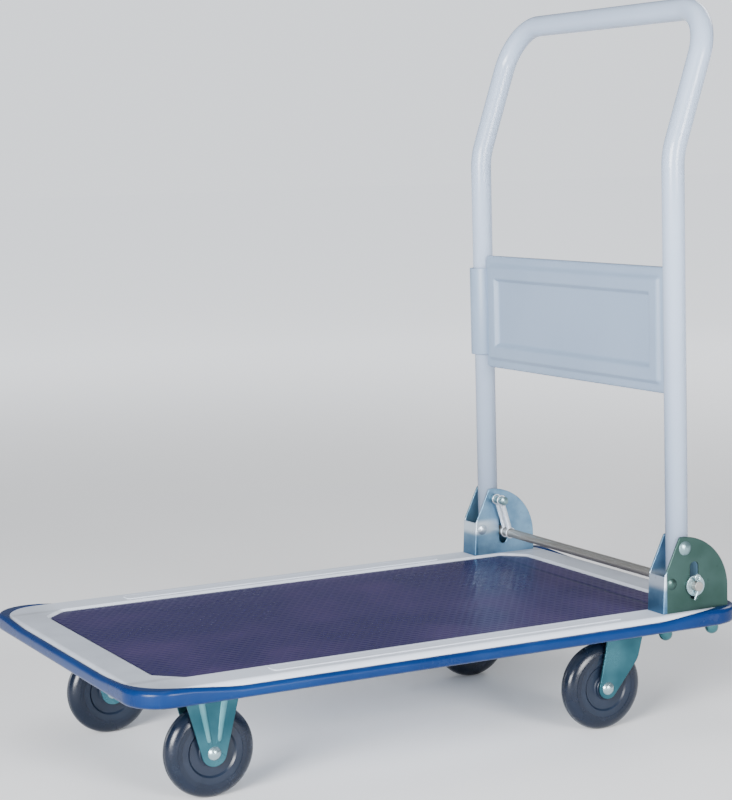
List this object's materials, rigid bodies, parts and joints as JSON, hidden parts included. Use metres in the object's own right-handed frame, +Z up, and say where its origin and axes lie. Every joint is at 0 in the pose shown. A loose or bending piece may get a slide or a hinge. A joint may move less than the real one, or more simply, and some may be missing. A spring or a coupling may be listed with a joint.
{
  "type": "folding platform cart",
  "caption": "Folding platform cart: pressed steel deck with a vinyl mat and bumper, fixed and swivel casters, and a tube handle that folds over the deck.",
  "frame": {"origin": "on the floor under the middle of the deck", "axes": "+X towards the handle end, +Y to the right of a person who pushes the cart, +Z up"},
  "size_m": [0.74, 0.48, 0.8252],
  "materials": {
    "deck_paint": "satin stoved enamel",
    "panel_paint": "satin stoved enamel",
    "tube_paint": "satin powder coat",
    "galvanised": "dull galvanised",
    "mat_vinyl": "embossed semi-gloss vinyl",
    "bumper_vinyl": "soft glossy vinyl",
    "zinc_plate": "blue-green passivated zinc",
    "bright_steel": "bright zinc",
    "spring_wire": "bright spring wire",
    "bar_steel": "bright drawn bar",
    "tyre_rubber": "dark grey rubber",
    "hub_moulding": "dark grey moulding",
    "bush_plastic": "plain acetal"
  },
  "bodies": {
    "platform": {"deck_sheet": "deck_paint", "front_cross_channel": "galvanised", "rear_cross_channel": "galvanised", "deck_mat": "mat_vinyl", "bumper_strip": "bumper_vinyl", "left_hinge_bracket": "zinc_plate", "right_hinge_bracket": "zinc_plate", "left_pivot_pin": "bright_steel", "right_pivot_pin": "bright_steel", "left_stop_pin": "bright_steel", "right_stop_pin": "bright_steel", "right_outer_spring": "spring_wire", "right_inner_spring": "spring_wire", "hinge_bolts": "bright_steel", "hinge_bolt_spacers": "bright_steel", "hinge_cap_nuts": "bright_steel", "front_caster_bolts": "bright_steel", "front_caster_nuts": "bright_steel", "rear_caster_bolts": "bright_steel", "rear_caster_nuts": "bright_steel", "front_left_fork": "zinc_plate", "front_right_fork": "zinc_plate", "front_left_axle": "bright_steel", "front_right_axle": "bright_steel", "rear_left_top_plate": "zinc_plate", "rear_right_top_plate": "zinc_plate", "rear_left_kingpin": "bright_steel", "rear_right_kingpin": "bright_steel"},
    "handle": {"handle_tube": "tube_paint", "handle_panel": "panel_paint"},
    "release_bar": {"release_bar": "bar_steel", "release_bar_washers": "bright_steel", "release_bar_split_pins": "bright_steel"},
    "rear_left_swivel": {"rear_left_fork": "zinc_plate", "rear_left_axle": "bright_steel", "rear_left_balls": "bright_steel", "rear_left_ball_cage": "bright_steel"},
    "front_left_wheel": {"front_left_tyre": "tyre_rubber", "front_left_hub": "hub_moulding", "front_left_bush": "bush_plastic"},
    "rear_left_wheel": {"rear_left_tyre": "tyre_rubber", "rear_left_hub": "hub_moulding", "rear_left_bush": "bush_plastic"},
    "rear_right_swivel": {"rear_right_fork": "zinc_plate", "rear_right_axle": "bright_steel", "rear_right_balls": "bright_steel", "rear_right_ball_cage": "bright_steel"},
    "front_right_wheel": {"front_right_tyre": "tyre_rubber", "front_right_hub": "hub_moulding", "front_right_bush": "bush_plastic"},
    "rear_right_wheel": {"rear_right_tyre": "tyre_rubber", "rear_right_hub": "hub_moulding", "rear_right_bush": "bush_plastic"}
  },
  "joints": [
    {"name": "handle_fold", "type": "hinge", "parent": "platform", "child": "handle", "pos_m": [0.292, 0, 0.214], "axis": [0, -1, 0], "range_deg": [0, 97]},
    {"name": "release_press", "type": "slide", "parent": "platform", "child": "release_bar", "axis": [0, 0, 1], "range_m": [-0.01, 0], "stiffness_N_per_m": 900, "springref_m": 0.012, "deforming": ["right_outer_spring", "right_inner_spring"]},
    {"name": "rear_left_swivel_turn", "type": "hinge", "parent": "platform", "child": "rear_left_swivel", "pos_m": [0.259, -0.148, 0.11], "axis": [0, 0, 1], "continuous": true},
    {"name": "front_left_wheel_roll", "type": "hinge", "parent": "platform", "child": "front_left_wheel", "pos_m": [-0.259, -0.148, 0.05], "axis": [0, 1, 0], "continuous": true},
    {"name": "rear_left_wheel_roll", "type": "hinge", "parent": "rear_left_swivel", "child": "rear_left_wheel", "pos_m": [0.227, -0.148, 0.05], "axis": [0, 1, 0], "continuous": true},
    {"name": "rear_right_swivel_turn", "type": "hinge", "parent": "platform", "child": "rear_right_swivel", "pos_m": [0.259, 0.148, 0.11], "axis": [0, 0, 1], "continuous": true},
    {"name": "front_right_wheel_roll", "type": "hinge", "parent": "platform", "child": "front_right_wheel", "pos_m": [-0.259, 0.148, 0.05], "axis": [0, 1, 0], "continuous": true},
    {"name": "rear_right_wheel_roll", "type": "hinge", "parent": "rear_right_swivel", "child": "rear_right_wheel", "pos_m": [0.227, 0.148, 0.05], "axis": [0, 1, 0], "continuous": true}
  ]
}
